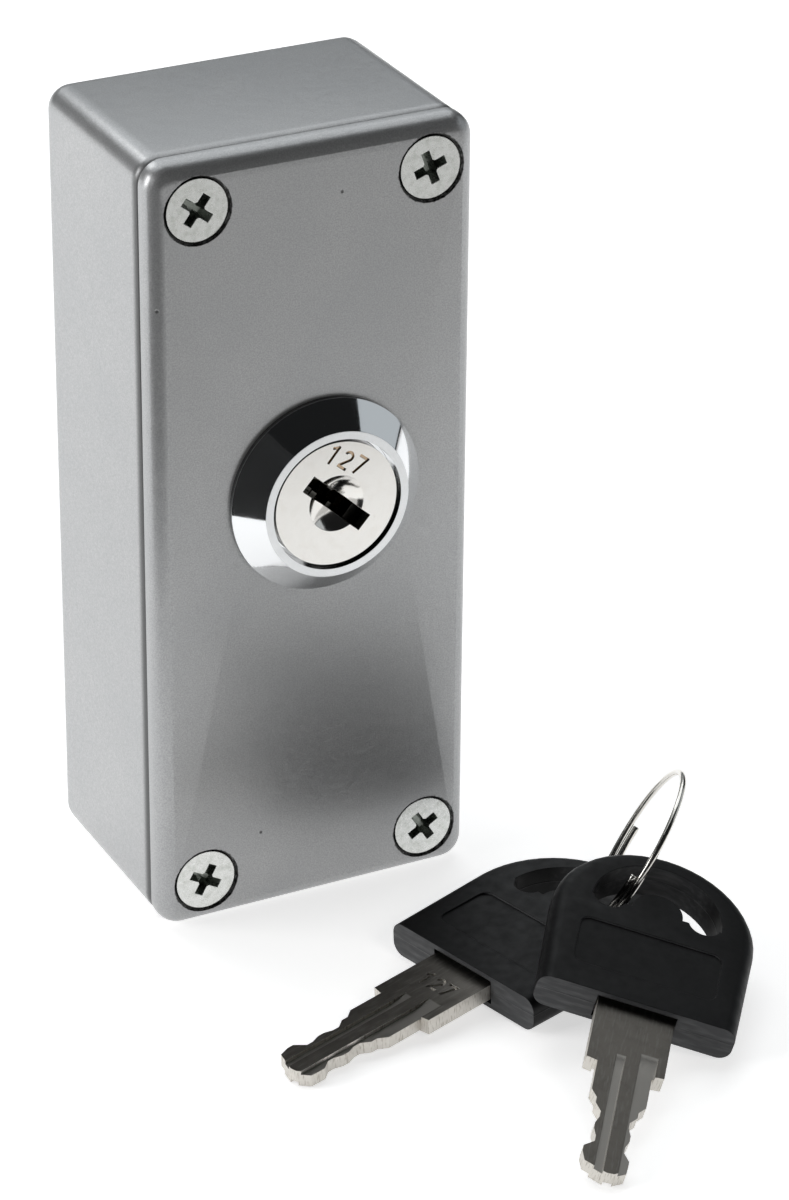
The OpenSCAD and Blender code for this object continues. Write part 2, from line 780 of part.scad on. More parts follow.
module bow_outside() {
    inset = bow_w / 2 - bow_edge_r;
    arc = [for (a = [0:22.5:90]) [bow_arc_r - bow_edge_r + bow_edge_r * cos(a), bow_t / 2 - bow_edge_r + bow_edge_r * sin(a)]];
    mirrored = [for (i = [len(arc) - 1:-1:0]) [arc[i][0], -arc[i][1]]];
    hull() {
        translate([bow_arc_x, 0, 0]) rotate_extrude($fn = 48) polygon(concat([[0, -bow_t / 2]], mirrored, arc, [[0, bow_t / 2]]));
        for (s = [-1, 1], c = [-1, 1]) translate([-0.5, s * inset, c * (bow_t / 2 - bow_edge_r)])
            rotate([0, 90, 0]) cylinder(h = 0.5, r = bow_edge_r, $fn = hull_fn);
    }
}

module bow() {
    difference() {
        bow_outside();
        translate([0, 0, -5]) linear_extrude(10) bow_slot_2d();
        for (c = [-1, 1]) translate([-7.6, 0, c * (bow_t / 2 + 0.8)]) linear_extrude(2, center = true)
            rounded_rect(7.6, 16, 1.2);
        translate([-embedded - 0.02, -root_w / 2 - 0.02, -blade_t / 2 - 0.02]) cube([embedded + 1, root_w + 0.04, blade_t + 0.04]);
        translate([-0.9, -root_w / 2 - 0.15, -1.5]) cube([2, root_w + 0.3, 3]);
    }
}

function cut_edge(cuts) = [for (i = [0:len(cuts) - 1]) each
    [[cut_start + cut_pitch * i - cut_flat, blade_w / 2 - cut_step * cuts[i]],
     [cut_start + cut_pitch * i + cut_flat, blade_w / 2 - cut_step * cuts[i]]]];

module blade_outline() {
    left = cut_edge(left_cuts);
    right = cut_edge(right_cuts);
    polygon(concat(
        [[-embedded, root_w / 2], [root_l, root_w / 2], [root_l + 0.2, blade_w / 2]],
        left,
        [[blade_l - 1.1, 2.3], [blade_l - 0.1, 1], [blade_l, 0.2], [blade_l - 0.9, -2.3]],
        [for (i = [len(right) - 1:-1:0]) [right[i][0], -right[i][1]]],
        [[root_l + 0.2, -blade_w / 2], [root_l, -root_w / 2], [-embedded, -root_w / 2]]));
}

// One milled groove in the upper face: it runs out in the cutter's radius at its bow end
module groove(start, y0, y1) {
    run = sqrt(2 * groove_cutter_r * groove_depth);
    translate([start + run, y0, blade_t / 2 - groove_depth]) cube([blade_l, y1 - y0, 2]);
    translate([start + run, y0, blade_t / 2 - groove_depth + groove_cutter_r]) rotate([-90, 0, 0])
        cylinder(h = y1 - y0, r = groove_cutter_r, $fn = 180);
}

module key_blade(stamped = false) {
    difference() {
        linear_extrude(blade_t, center = true) blade_outline();
        if (stamped) translate([3.9, 0.1, blade_t / 2]) rotate([180, 0, 90]) digits([1.65, 0, 0]);
        for (a = [0, 180]) rotate([a, 0, 0]) {
            groove(7.3, -1.17, -0.17);
            groove(6.2, 1.4, 3.3);
        }
    }
}

module key_1_bow() {
    color("#17181a") at_key(key_1_pos, key_1_turn) bow();
}

module key_1_blade() {
    color("#8f8b84") at_key(key_1_pos, key_1_turn) key_blade(true);
}

module key_2_bow() {
    color("#17181a") at_key(key_2_pos, key_2_turn) bow();
}

module key_2_blade() {
    color("#8f8b84") at_key(key_2_pos, key_2_turn) key_blade();
}

// The ring is one wire wound over more than a full turn, so its ends lie side by side.
// Its first and last stretches are level and the single stretch between them crosses over.
function side_shift(a) = (wire_r + 0.02) * (a < overlap ? -1 : a > 360 ? 1 : -cos(180 * (a - overlap) / (360 - overlap)));

module split_ring() {
    rings = [for (i = [0:ring_steps]) [for (j = [0:wire_sides - 1])
        let (a = wire_turn * i / ring_steps, side = 360 * j / wire_sides, r = ring_r + wire_r * cos(side))
        [r * cos(ring_start + a), r * sin(ring_start + a), side_shift(a) + wire_r * sin(side)]]];
    color("#c9c6c0") translate(ring_pos) rotate([0, 0, ring_azimuth]) rotate([0, 90 - ring_tilt, 0])
        rotate([0, 0, 90]) skin(rings);
}

enclosure_base();
lid();
lid_screws();
cable_grommet();
earth_screw();
earth_tag();
lock_barrel();
lock_washer();
lock_nut();
switch_bracket();
switch_case();
switch_cover();
switch_screws();
switch_nuts();
terminal_common();
terminal_normally_closed();
terminal_normally_open();
actuating_lever();
plunger();
contact_blade();
moving_contact();
plug();
stop_washer();
cam();
cam_nut();
wafer(0);  // wafer_1
wafer(1);  // wafer_2
wafer(2);  // wafer_3
wafer(3);  // wafer_4
wafer(4);  // wafer_5
wafer(5);  // wafer_6
wafer(6);  // wafer_7
springs_odd();
springs_even();
key_1_bow();
key_1_blade();
key_2_bow();
key_2_blade();
split_ring();
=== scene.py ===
"""Looks of the key selector switch: materials, the split ring's wire, camera, floor and lights.

Lengths are in metres, in the CAD model's frame: +Z up, the lid faces -Y, and the origin is the
centre of the back face.
"""

import math

import bmesh
import bpy
from mathutils import Euler, Matrix, Vector


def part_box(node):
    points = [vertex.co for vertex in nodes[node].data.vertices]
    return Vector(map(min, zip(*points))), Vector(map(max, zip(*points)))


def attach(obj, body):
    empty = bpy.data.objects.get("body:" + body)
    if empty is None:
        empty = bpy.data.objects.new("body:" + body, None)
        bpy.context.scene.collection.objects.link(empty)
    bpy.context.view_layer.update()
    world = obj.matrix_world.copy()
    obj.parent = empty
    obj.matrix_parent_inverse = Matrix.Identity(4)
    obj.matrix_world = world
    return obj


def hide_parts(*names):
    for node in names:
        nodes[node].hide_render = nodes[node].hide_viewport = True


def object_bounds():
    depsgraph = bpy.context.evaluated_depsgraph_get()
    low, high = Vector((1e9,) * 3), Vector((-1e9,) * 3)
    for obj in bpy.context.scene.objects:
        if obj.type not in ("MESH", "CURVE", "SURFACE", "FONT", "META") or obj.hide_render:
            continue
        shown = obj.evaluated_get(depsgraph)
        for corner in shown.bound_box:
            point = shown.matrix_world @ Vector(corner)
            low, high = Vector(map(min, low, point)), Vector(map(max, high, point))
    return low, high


MM = 0.001
COAT_ROUGH = 0.12
BEVEL_SAMPLES = 6

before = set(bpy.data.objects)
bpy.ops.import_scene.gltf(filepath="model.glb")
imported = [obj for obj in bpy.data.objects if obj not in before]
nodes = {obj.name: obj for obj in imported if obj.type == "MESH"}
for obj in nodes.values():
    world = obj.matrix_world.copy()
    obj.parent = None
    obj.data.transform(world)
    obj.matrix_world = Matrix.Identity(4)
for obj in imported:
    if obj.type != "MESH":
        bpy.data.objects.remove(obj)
cad_low, cad_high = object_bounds()
scene = bpy.context.scene


# ---------------------------------------------------------------- materials


class Surface:
    """A Principled material put together node by node. Patterns follow object coordinates."""

    def __init__(self, name, color, metallic=0.0, rough=0.5, coat=0.0, specular=0.5):
        self.mat = bpy.data.materials.new(name)
        self.mat.use_nodes = True
        self.tree = self.mat.node_tree
        self.shader = self.tree.nodes["Principled BSDF"]
        self.coord = self.add("ShaderNodeTexCoord").outputs["Object"]
        self.color = self.add("ShaderNodeRGB").outputs[0]
        self.color.default_value = (*color, 1)
        self.rough = self.add("ShaderNodeValue").outputs[0]
        self.rough.default_value = rough
        self.height = None
        self.shader.inputs["Metallic"].default_value = metallic
        self.shader.inputs["Specular IOR Level"].default_value = specular
        if coat:
            self.shader.inputs["Coat Weight"].default_value = coat
            self.shader.inputs["Coat Roughness"].default_value = COAT_ROUGH

    def add(self, kind, **sources):
        """A new node, with its named inputs linked to other nodes' outputs."""
        n = self.tree.nodes.new(kind)
        for socket, source in sources.items():
            self.tree.links.new(source, n.inputs[socket])
        return n

    def math(self, op, a, b=0.0, clamp=False):
        """a and b are numbers or sockets."""
        n = self.add("ShaderNodeMath")
        n.operation = op
        n.use_clamp = clamp
        for socket, v in zip(n.inputs, (a, b)):
            if isinstance(v, (int, float)):
                socket.default_value = v
            else:
                self.tree.links.new(v, socket)
        return n.outputs[0]

    def both(self, a, b):
        """The product of two masks."""
        return self.math("MULTIPLY", a, b)

    def turned(self, frame_matrix):
        """Patterns from here on follow that frame: X, Y and Z are its own, in metres."""
        inverse = frame_matrix.inverted()
        n = self.add("ShaderNodeMapping", Vector=self.coord)
        n.inputs["Rotation"].default_value = inverse.to_euler()
        n.inputs["Location"].default_value = inverse.translation
        self.coord = n.outputs[0]
        return self

    def axis(self, i):
        """Position along axis i of the frame that patterns follow, in metres."""
        return self.add("ShaderNodeSeparateXYZ", Vector=self.coord).outputs[i]

    def facing(self, frame_matrix, i):
        """How far the surface looks along axis i of that frame, from -1 to 1."""
        normal = self.add("ShaderNodeTexCoord").outputs["Normal"]
        n = self.add("ShaderNodeMapping", Vector=normal)
        n.vector_type = "VECTOR"
        n.inputs["Rotation"].default_value = frame_matrix.inverted().to_euler()
        return self.add("ShaderNodeSeparateXYZ", Vector=n.outputs[0]).outputs[i]

    def distance(self, x, z, mirrored=False):
        """Distance from an axis along Y through x and z, or from its four mirror images."""
        ax, az = self.axis(0), self.axis(2)
        if mirrored:
            ax, az = self.math("ABSOLUTE", ax), self.math("ABSOLUTE", az)
        dx, dz = self.math("SUBTRACT", ax, x), self.math("SUBTRACT", az, z)
        return self.math("SQRT", self.math("ADD", self.both(dx, dx), self.both(dz, dz)))

    def noise(self, size, detail=3.0, stretch=None, distortion=0.0):
        """Noise from 0 to 1 whose features are about size across, in metres."""
        where = self.coord
        if stretch:
            mapping = self.add("ShaderNodeMapping", Vector=where)
            mapping.inputs["Scale"].default_value = stretch
            where = mapping.outputs[0]
        n = self.add("ShaderNodeTexNoise", Vector=where)
        n.inputs["Scale"].default_value = 1 / size
        n.inputs["Detail"].default_value = detail
        n.inputs["Distortion"].default_value = distortion
        return n.outputs["Fac"]

    def cells(self, size):
        """Distance from the nearest of scattered points, in shares of size."""
        n = self.add("ShaderNodeTexVoronoi", Vector=self.coord)
        n.inputs["Scale"].default_value = 1 / size
        return n.outputs["Distance"]

    def span(self, value, a0, a1, b0=0.0, b1=1.0, smooth=False):
        """Maps a0 to b0 and a1 to b1, and holds the ends."""
        n = self.add("ShaderNodeMapRange", Value=value)
        n.interpolation_type = "SMOOTHSTEP" if smooth else "LINEAR"
        for i, v in enumerate((a0, a1, b0, b1)):
            n.inputs[1 + i].default_value = v
        return n.outputs[0]

    def below(self, value, a0, a1, smooth=False):
        """A mask that is 1 up to a0 and fades to 0 at a1."""
        return self.span(value, a0, a1, 1.0, 0.0, smooth)

    def tint(self, mask, color, amount=1.0):
        """Mixes color in where mask is 1."""
        n = self.add("ShaderNodeMix")
        n.data_type = "RGBA"
        share = self.math("MULTIPLY", mask, amount, clamp=True)
        self.tree.links.new(share, n.inputs["Factor"])
        self.tree.links.new(self.color, n.inputs["A"])
        n.inputs["B"].default_value = (*color, 1)
        self.color = n.outputs["Result"]
        return self

    def roughen(self, mask, amount):
        self.rough = self.math("ADD", self.rough, self.both(mask, amount), clamp=True)
        return self

    def vary_rough(self, pattern, amount):
        """Spreads the roughness by amount, evenly up and down, after a pattern from 0 to 1."""
        return self.roughen(self.span(pattern, 0.3, 0.7, -0.5, 0.5), amount)

    def relief(self, mask, depth):
        """Raises the surface by depth, in metres, where mask is 1."""
        lift = self.both(mask, depth)
        self.height = lift if self.height is None else self.math("ADD", self.height, lift)
        return self

    def glow(self, color, strength):
        self.shader.inputs["Emission Color"].default_value = (*color, 1)
        self.shader.inputs["Emission Strength"].default_value = strength
        return self

    def finish(self, edge=0.0):
        """edge is the radius, in metres, that sharp edges are softened by."""
        links = self.tree.links
        links.new(self.color, self.shader.inputs["Base Color"])
        links.new(self.rough, self.shader.inputs["Roughness"])
        normal = None
        if edge:
            n = self.add("ShaderNodeBevel")
            n.samples = BEVEL_SAMPLES
            n.inputs["Radius"].default_value = edge
            normal = n.outputs[0]
        if self.height is not None:
            n = self.add("ShaderNodeBump", Height=self.height)
            n.inputs["Distance"].default_value = 1.0
            n.inputs["Strength"].default_value = 1.0
            if normal is not None:
                links.new(normal, n.inputs["Normal"])
            normal = n.outputs[0]
        if normal is not None:
            links.new(normal, self.shader.inputs["Normal"])
        return self.mat


def pose_matrix(pos, turns):
    rx, ry, rz = (math.radians(turns[i]) for i in (2, 1, 0))
    return Matrix.Translation(Vector(pos) * MM) @ Euler((rx, ry, rz), "XYZ").to_matrix().to_4x4()


# The keys' own frames, as in the CAD source: X runs along the blade from the bow's front, Y
# across the flat and Z out of it
KEY_FRAMES = {
    "key_1": pose_matrix((4.88, -55.74, -43.39), (196.3, 3.4, -1.1)),
    "key_2": pose_matrix((15.7, -74.7, -40.87), (233.4, 8.3, -15.1)),
}
BLADE_HALF_T = 0.95 * MM
PARTING_Z = 0.25 * MM  # the bows' parting line, off the middle of their thickness
LOCK_AXIS = Vector((0.9, 0, 4.9)) * MM
CONE_DEPTH = 3.0 * MM  # where the bezel's cone meets its outer wall
DIMPLE_R = 3.35 * MM  # just past the dimple's rim
STAMP_DEPTH = 0.2 * MM
RING_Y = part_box("lock_barrel")[0][1]
FACE_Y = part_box("plug")[0][1]
PLUG_R = (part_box("plug")[1][0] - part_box("plug")[0][0]) / 2
HEAD_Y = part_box("lid_screws")[0][1]
SCREW_X, SCREW_Z = 13.7 * MM, 40.6 * MM
SINK_R = 3.92 * MM
LID_THICK = 3.0 * MM
SEAM_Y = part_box("lid")[0][1] + LID_THICK
GAP_SHADE = (0.02, 0.02, 0.018)  # painted shade in the gaps round the screws and the plug


def box_paint():
    """Silver-grey paint on a casting: fine flakes, a few pits, and painted shade in the seam and
    the screw sinks.
    """
    s = Surface("box_paint", (0.33, 0.334, 0.338), metallic=0.7, rough=0.34, coat=0.12)
    flakes = s.noise(0.16 * MM, detail=2)
    mottle = s.noise(9 * MM, detail=3)
    s.tint(s.span(flakes, 0.35, 0.75), (0.52, 0.52, 0.52), 0.7)
    s.tint(s.span(mottle, 0.35, 0.7), (0.31, 0.32, 0.33), 0.25)
    pits = s.below(s.cells(7.5 * MM), 0.018, 0.034)
    s.tint(pits, (0.09, 0.09, 0.09), 0.9)
    # Painted shade: a ragged dark ring inside each screw sink, round the screw head.
    to_screw = s.distance(SCREW_X, SCREW_Z, mirrored=True)
    ragged = s.math("ADD", to_screw, s.both(s.noise(0.5 * MM), -0.5 * MM))
    s.tint(s.below(ragged, SINK_R - 0.32 * MM, SINK_R - 0.18 * MM), GAP_SHADE, 0.95)
    # Painted shade along the seam on the base, just behind the lid, stronger on the sides than on
    # the top.
    depth = s.axis(1)
    groove = s.both(
        s.span(depth, SEAM_Y - 0.02 * MM, SEAM_Y),
        s.below(depth, SEAM_Y + 0.9 * MM, SEAM_Y + 2.1 * MM, smooth=True),
    )
    sides = s.span(s.math("ABSOLUTE", s.axis(0)), 17.5 * MM, 19 * MM, 0.2, 1.0)
    s.tint(s.both(groove, sides), (0.06, 0.06, 0.06), 0.85)
    s.vary_rough(s.noise(0.5 * MM, detail=4), 0.10)
    s.relief(s.noise(0.35 * MM, detail=3), 0.010 * MM)
    s.relief(s.noise(2.2 * MM, detail=2), 0.022 * MM)
    s.relief(pits, -0.05 * MM)
    return s.finish(edge=0.07 * MM)


def plated(name, color, rough, edge=0.12 * MM, grain=0.25 * MM, stain=(0.5, 0.5, 0.48)):
    s = Surface(name, color, metallic=1.0, rough=rough)
    s.tint(s.span(s.noise(1.6 * MM, detail=4), 0.45, 0.75), stain, 0.3)
    s.vary_rough(s.noise(grain, detail=3), 0.12)
    s.relief(s.noise(grain, detail=4), 0.0015 * MM)
    return s.finish(edge=edge)


def screw_zinc():
    """Bright passivated zinc, with painted shade in the cross recess."""
    s = Surface("screw_zinc_lid", (0.75, 0.76, 0.74), metallic=1.0, rough=0.3)
    grain = s.noise(0.3 * MM, detail=4)
    s.tint(s.span(s.noise(0.8 * MM, detail=5), 0.45, 0.7), (0.50, 0.52, 0.48), 0.6)
    specks = s.below(s.cells(0.8 * MM), 0.03, 0.07)
    s.tint(specks, (0.3, 0.3, 0.27), 0.6)
    # Painted shade in the cross recess.
    recess = s.span(s.axis(1), HEAD_Y + 0.03 * MM, HEAD_Y + 0.12 * MM)
    s.tint(recess, (0.26, 0.28, 0.255), 1.0)
    s.vary_rough(grain, 0.14)
    s.relief(grain, 0.0025 * MM)
    return s.finish(edge=0.08 * MM)


def lock_chrome():
    """Mirror chrome with a duller front ring, painted shade in the gap round the plug and painted
    dark reflection and shade on the outer wall.
    """
    s = Surface("lock_chrome", (0.80, 0.81, 0.82), metallic=1.0, rough=0.06)
    depth = s.axis(1)
    flat = s.below(depth, RING_Y + 0.02 * MM, RING_Y + 0.06 * MM)
    grain = s.noise(0.09 * MM, detail=3)
    s.tint(s.both(flat, s.span(grain, 0.4, 0.7)), (0.66, 0.67, 0.66), 0.6)
    s.roughen(flat, 0.22)
    # Painted shade on the bore round the plug, just behind the front.
    radius = s.distance(LOCK_AXIS.x, LOCK_AXIS.z)
    inside = s.below(radius, PLUG_R + 0.02 * MM, PLUG_R + 0.06 * MM)
    s.tint(s.both(inside, s.span(depth, RING_Y + 0.1 * MM, RING_Y + 0.3 * MM)), GAP_SHADE, 0.95)
    # Painted dark reflection and shade on the outer wall behind the cone.
    wall = s.span(depth, RING_Y + CONE_DEPTH - 0.05 * MM, RING_Y + CONE_DEPTH)
    s.tint(wall, (0.16, 0.16, 0.16), 0.85)
    s.roughen(s.span(s.noise(2.5 * MM, detail=5), 0.4, 0.8), 0.05)
    s.relief(s.noise(1.4 * MM, detail=2), 0.0008 * MM)
    s.relief(s.both(flat, grain), 0.002 * MM)
    return s.finish(edge=0.05 * MM)


def plug_nickel():
    """Warm nickel: painted shade, nearly black, inside the keyway, and tarnished in the stamped
    digits.
    """
    s = Surface("plug_nickel", (0.76, 0.745, 0.715), metallic=1.0, rough=0.2)
    fine = s.noise(0.12 * MM, detail=3, stretch=(1, 1, 6))
    s.tint(s.span(s.noise(1.2 * MM, detail=5), 0.5, 0.8), (0.62, 0.58, 0.52), 0.25)
    specks = s.below(s.cells(0.9 * MM), 0.03, 0.07)
    s.tint(specks, (0.42, 0.36, 0.28), 0.6)
    radius = s.distance(LOCK_AXIS.x, LOCK_AXIS.z)
    depth = s.axis(1)
    stamped = s.both(
        s.span(depth, FACE_Y + 0.02 * MM, FACE_Y + 0.06 * MM),
        s.below(depth, FACE_Y + STAMP_DEPTH, FACE_Y + STAMP_DEPTH + 0.04 * MM),
    )
    outer = s.both(
        s.span(radius, DIMPLE_R + 0.15 * MM, DIMPLE_R + 0.25 * MM),
        s.below(radius, PLUG_R - 0.5 * MM, PLUG_R - 0.4 * MM),
    )
    s.tint(s.both(stamped, outer), (0.36, 0.22, 0.09), 0.75)
    # Painted shade: nearly black from about 1.1 mm deep inside the keyway.
    keyway = s.span(depth, FACE_Y + 1.12 * MM, FACE_Y + 1.3 * MM)
    s.tint(keyway, (0.035, 0.034, 0.03), 0.97)
    dimple = s.both(
        s.below(radius, DIMPLE_R - 0.15 * MM, DIMPLE_R),
        s.span(depth, FACE_Y + 0.02 * MM, FACE_Y + 0.1 * MM),
    )
    s.roughen(dimple, -0.1)
    s.vary_rough(fine, 0.10)
    s.relief(fine, 0.0012 * MM)
    return s.finish(edge=0.05 * MM)


def bow_plastic(key):
    """Black plastic: grained flats, a paler streaked end face, partly its own finish and partly
    painted light, and a line where the mould parted.
    """
    s = Surface(f"bow_plastic_{key}", (0.0025, 0.0025, 0.0028), rough=0.5, specular=0.2)
    s.turned(KEY_FRAMES[key])
    s.tint(s.span(s.noise(3.5 * MM, detail=5), 0.5, 0.8), (0.008, 0.008, 0.0087), 0.5)
    streaks = s.noise(0.5 * MM, detail=4, stretch=(1, 0.15, 1))
    # The end face is painted paler: partly its own streaked finish, partly painted light.
    end = s.span(s.facing(KEY_FRAMES[key], 0), 0.55, 0.9)
    s.tint(end, (0.045, 0.046, 0.048), 0.9)
    s.tint(s.both(end, s.span(streaks, 0.45, 0.7)), (0.085, 0.086, 0.088), 0.7)
    s.vary_rough(s.noise(1.2 * MM, detail=4), 0.14)
    s.relief(s.noise(0.13 * MM, detail=3), 0.006 * MM)
    s.relief(s.noise(1.6 * MM, detail=2), 0.01 * MM)
    off_line = s.math("ABSOLUTE", s.math("SUBTRACT", s.axis(2), PARTING_Z))
    s.relief(s.below(off_line, 0.03 * MM, 0.09 * MM), 0.03 * MM)
    return s.finish(edge=0.16 * MM)


def key_nickel(key):
    """Dark, dull plated flats with bright cut edges that show the cutter's marks."""
    s = Surface(f"key_nickel_{key}", (0.15, 0.14, 0.125), metallic=1.0, rough=0.36)
    s.turned(KEY_FRAMES[key])
    marks = s.noise(0.22 * MM, detail=4, stretch=(0.12, 1, 1))
    dull = s.noise(1.4 * MM, detail=5, distortion=0.5)
    s.tint(s.span(dull, 0.48, 0.72), (0.12, 0.112, 0.1), 0.7)
    s.tint(s.span(marks, 0.52, 0.68), (0.24, 0.23, 0.215), 0.4)
    height = s.math("ABSOLUTE", s.axis(2))
    milled = s.below(height, BLADE_HALF_T - 0.06 * MM, BLADE_HALF_T - 0.02 * MM)
    s.tint(milled, (0.36, 0.345, 0.32), 0.75)
    edge = s.below(s.math("ABSOLUTE", s.facing(KEY_FRAMES[key], 2)), 0.3, 0.6)
    cuts = s.noise(0.16 * MM, detail=3, stretch=(1, 1, 0.15))
    s.tint(edge, (0.66, 0.635, 0.59), 0.95)
    s.tint(s.both(edge, s.span(cuts, 0.55, 0.7)), (0.3, 0.27, 0.22), 0.75)
    s.roughen(edge, 0.1)
    s.vary_rough(marks, 0.16)
    s.relief(marks, 0.004 * MM)
    s.relief(s.both(edge, cuts), 0.02 * MM)
    return s.finish(edge=0.06 * MM)


def ring_nickel():
    s = Surface("ring_nickel", (0.72, 0.70, 0.66), metallic=1.0, rough=0.14)
    s.tint(s.span(s.noise(1.1 * MM, detail=4), 0.5, 0.75), (0.5, 0.47, 0.42), 0.4)
    s.roughen(s.span(s.noise(0.3 * MM, detail=3), 0.4, 0.7), 0.1)
    s.relief(s.noise(0.4 * MM, detail=3), 0.002 * MM)
    return s.finish()


def moulded(name, color, rough=0.45, size=0.2 * MM, depth=0.006 * MM):
    s = Surface(name, color, rough=rough)
    paler = tuple(c * 1.8 + 0.01 for c in color)
    s.tint(s.span(s.noise(2.5 * MM, detail=4), 0.5, 0.8), paler, 0.4)
    s.vary_rough(s.noise(1 * MM, detail=3), 0.12)
    s.relief(s.noise(size, detail=3), depth)
    return s.finish(edge=0.1 * MM)


ZINC = plated("zinc_steel", (0.70, 0.71, 0.71), 0.3)
SCREW = plated(
    "screw_zinc", (0.75, 0.76, 0.75), 0.24, edge=0.1 * MM, grain=0.35 * MM, stain=(0.6, 0.61, 0.57)
)
BRASS = plated("wafer_brass", (0.76, 0.60, 0.33), 0.32, stain=(0.55, 0.4, 0.2))
MATERIALS = {
    "enclosure_base": box_paint(),
    "lock_barrel": lock_chrome(),
    "plug": plug_nickel(),
    "lid_screws": screw_zinc(),
    "earth_screw": SCREW,
    "switch_screws": SCREW,
    "switch_nuts": SCREW,
    "earth_tag": plated("tinned_brass", (0.78, 0.74, 0.62), 0.3),
    "cable_grommet": moulded(
        "grommet_rubber", (0.018, 0.018, 0.019), rough=0.62, size=0.3 * MM, depth=0.012 * MM
    ),
    "switch_case": moulded("switch_black", (0.016, 0.017, 0.019)),
    "plunger": moulded("plunger_red", (0.42, 0.02, 0.02), rough=0.3),
    "terminal_common": plated("terminal_brass", (0.78, 0.63, 0.36), 0.28, stain=(0.6, 0.45, 0.22)),
    "actuating_lever": plated("spring_steel", (0.72, 0.73, 0.74), 0.22),
    "contact_blade": plated("contact_bronze", (0.75, 0.5, 0.3), 0.25, stain=(0.5, 0.28, 0.15)),
    "moving_contact": plated("contact_silver", (0.88, 0.88, 0.86), 0.2),
}
for same, source in {
    "lid": "enclosure_base",
    "switch_cover": "switch_case",
    "terminal_normally_closed": "terminal_common",
    "terminal_normally_open": "terminal_common",
    "springs_odd": "actuating_lever",
    "springs_even": "actuating_lever",
}.items():
    MATERIALS[same] = MATERIALS[source]
for name in ("lock_washer", "lock_nut", "switch_bracket", "stop_washer", "cam", "cam_nut"):
    MATERIALS[name] = ZINC
for name in nodes:
    if name.startswith("wafer_"):
        MATERIALS[name] = BRASS
for key in KEY_FRAMES:
    MATERIALS[f"{key}_bow"] = bow_plastic(key)
    MATERIALS[f"{key}_blade"] = key_nickel(key)


WELD_DISTANCE = 0.0005 * MM
SPLIT_ANGLE = math.radians(32)


def dress(obj, material):
    """Gives a CAD node its material, and shades it smooth across edges under SPLIT_ANGLE."""
    obj.data.materials.clear()
    obj.data.materials.append(material)
    for p in obj.data.polygons:
        p.use_smooth = True
    weld = obj.modifiers.new("weld", "WELD")
    weld.merge_threshold = WELD_DISTANCE
    split = obj.modifiers.new("split", "EDGE_SPLIT")
    split.split_angle = SPLIT_ANGLE
    split.use_edge_sharp = False


for name, obj in nodes.items():
    if name in MATERIALS:
        dress(obj, MATERIALS[name])


# ---------------------------------------------------------------- the split ring

# As in the CAD source, in millimetres and degrees
WIRE_R, WIRE_GAP, RING_R = 0.38, 0.04, 9.75
WIRE_TURN = 535
OVERLAP = WIRE_TURN - 360
RING_START = 285 - OVERLAP / 2
RING_POS = (30.12, -49.54, -36.91)
RING_AZIMUTH, RING_TILT = 144, 29

# How thick the wire is just past its ends and how far out that is, both in shares of its radius
END_ROUNDING = ((0.55, 0.25), (0.9, 0.12))
RING_STEPS, WIRE_SIDES = 240, 18


def turn(degrees, axis):
    return Matrix.Rotation(math.radians(degrees), 4, axis)


def ring_path(steps):
    """Centre line of the ring's wire, in metres. Where it overlaps, its ends lie side by side."""
    place = (
        Matrix.Translation(RING_POS)
        @ turn(RING_AZIMUTH, "Z")
        @ turn(90 - RING_TILT, "Y")
        @ turn(90, "Z")
    )
    points = []
    for i in range(steps + 1):
        a = WIRE_TURN * i / steps
        if a < OVERLAP:
            side = -1.0
        elif a > 360:
            side = 1.0
        else:
            side = -math.cos(math.pi * (a - OVERLAP) / (360 - OVERLAP))
        angle = math.radians(RING_START + a)
        x, y = RING_R * math.cos(angle), RING_R * math.sin(angle)
        points.append(place @ Vector((x, y, (WIRE_R + WIRE_GAP / 2) * side)) * MM)
    return points


def wire(name, points, radius, sides, material):
    """A round wire along points, with rounded ends."""
    last = len(points) - 1
    stations = [(0, share, -push) for share, push in END_ROUNDING]
    stations += [(i, 1.0, 0.0) for i in range(len(points))]
    stations += [(last, share, push) for share, push in reversed(END_ROUNDING)]
    bm = bmesh.new()
    rings = []
    normal = None
    for i, share, push in stations:
        ahead = (points[min(i + 1, last)] - points[max(i - 1, 0)]).normalized()
        if normal is None:
            normal = ahead.orthogonal().normalized()
        normal = (normal - ahead * normal.dot(ahead)).normalized()
        across = ahead.cross(normal)
        ring = []
        for k in range(sides):
            a = 2 * math.pi * k / sides
            out = normal * math.cos(a) + across * math.sin(a)
            ring.append(bm.verts.new(points[i] + ahead * (push * radius) + out * radius * share))
        rings.append(ring)
    for r0, r1 in zip(rings, rings[1:]):
        for k in range(sides):
            bm.faces.new((r0[k], r0[(k + 1) % sides], r1[(k + 1) % sides], r1[k]))
    bm.faces.new(rings[0][::-1])
    bm.faces.new(rings[-1])
    bmesh.ops.recalc_face_normals(bm, faces=bm.faces)
    mesh = bpy.data.meshes.new(name)
    bm.to_mesh(mesh)
    bm.free()
    for p in mesh.polygons:
        p.use_smooth = len(p.vertices) == 4
    mesh.materials.append(material)
    obj = bpy.data.objects.new(name, mesh)
    scene.collection.objects.link(obj)
    return obj


ring = wire("ring_wire", ring_path(RING_STEPS), WIRE_R * MM, WIRE_SIDES, ring_nickel())
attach(ring, "ring")
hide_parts("split_ring")

# ---------------------------------------------------------------- camera, floor and lights

camera = bpy.data.objects.new("camera", bpy.data.cameras.new("camera"))
scene.collection.objects.link(camera)
camera.location = (-0.19977, -0.43973, 0.22868)
camera.rotation_euler = (math.radians(62.586), math.radians(-0.428), math.radians(-26.804))
camera.data.sensor_width = 36
camera.data.lens = 139.85
camera.data.clip_start = 0.01
scene.camera = camera


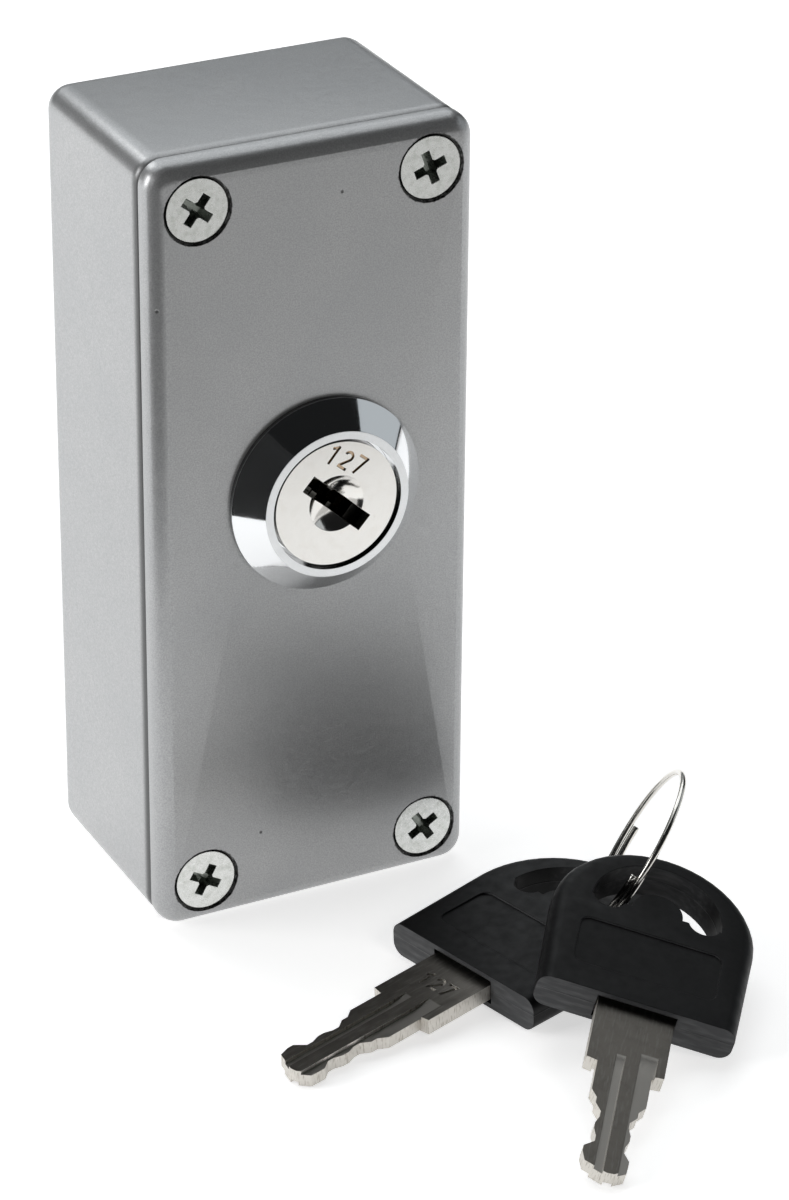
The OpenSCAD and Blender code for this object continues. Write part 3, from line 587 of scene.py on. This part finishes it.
def sheet(name, size):
    """A flat square, 2 * size wide, at the origin."""
    obj = bpy.data.objects.new(name, bpy.data.meshes.new(name))
    scene.collection.objects.link(obj)
    bm = bmesh.new()
    bmesh.ops.create_grid(bm, x_segments=1, y_segments=1, size=size)
    bm.to_mesh(obj.data)
    bm.free()
    return obj


FLOOR_GAP = 0.02 * MM
floor = sheet("floor", 3)
floor.location.z = cad_low.z - FLOOR_GAP
floor_surface = Surface("floor_white", (0.86, 0.86, 0.86), rough=0.9, specular=0.0)
floor_surface.tint(floor_surface.noise(0.2, detail=2), (0.88, 0.88, 0.88), 0.5)
floor_surface.glow((1, 1, 1), 0.62)
floor.data.materials.append(floor_surface.finish())


def card(name, where, facing, width, height, grey, glow):
    """A studio card that is only seen in the object's reflections."""
    obj = sheet(name, 0.5)
    obj.scale = (width, height, 1)
    obj.location = where
    obj.rotation_euler = Vector(facing).to_track_quat("Z", "Y").to_euler()
    obj.visible_camera = obj.visible_shadow = obj.visible_diffuse = False
    surface = Surface(name, (grey,) * 3, rough=0.9)
    surface.tint(surface.noise(0.05, detail=2), (grey * 1.2,) * 3, 0.5)
    surface.glow((1, 0.99, 0.97), glow)
    obj.data.materials.append(surface.finish())


card("black_card", (-0.098, -0.07, 0.034), (0.8, 0.42, 0), 0.15, 0.16, 0.012, 0.0)
card("grey_card", (0.12, -0.36, cad_low.z), (0, 0, 1), 0.9, 0.44, 0.35, 0.38)

scene.view_settings.view_transform = "Standard"
scene.view_settings.look = "None"
world = bpy.data.worlds.new("studio")
scene.world = world
world.use_nodes = True
background = world.node_tree.nodes["Background"]
background.inputs["Color"].default_value = (0.93, 0.97, 1.0, 1)
background.inputs["Strength"].default_value = 0.012

CENTRE = (0, -0.03, 0)


def softbox(name, where, width, height, power, color=(1, 1, 1)):
    """A soft rectangular light that looks at CENTRE. Its power is in watts."""
    lamp = bpy.data.lights.new(name, "AREA")
    lamp.shape = "RECTANGLE"
    lamp.size, lamp.size_y = width, height
    lamp.energy = power
    lamp.color = color
    obj = bpy.data.objects.new(name, lamp)
    scene.collection.objects.link(obj)
    obj.location = where
    obj.rotation_euler = (Vector(CENTRE) - Vector(where)).to_track_quat("-Z", "Y").to_euler()
    return obj


softbox("top_light", (0.1, 0.75, 1.15), 1.8, 1.5, 11.5, (0.95, 0.98, 1.0))
softbox("back_light", (0.45, 1.2, 0.55), 1.3, 0.9, 1.0, (0.92, 0.97, 1.0))
softbox("left_light", (-1.0, 0.25, 0.32), 0.7, 0.6, 7.6)
softbox("right_light", (1.0, -0.15, 0.36), 1.0, 0.72, 1.25, (0.9, 0.96, 1.0))
softbox("edge_light", (-0.35, 1.2, 0.95), 0.5, 0.4, 1.6)
front_light = softbox("front_light", (0.1, -1.3, 0.9), 0.5, 0.3, 3.2, (1.0, 0.97, 0.93))
front_light.visible_glossy = False
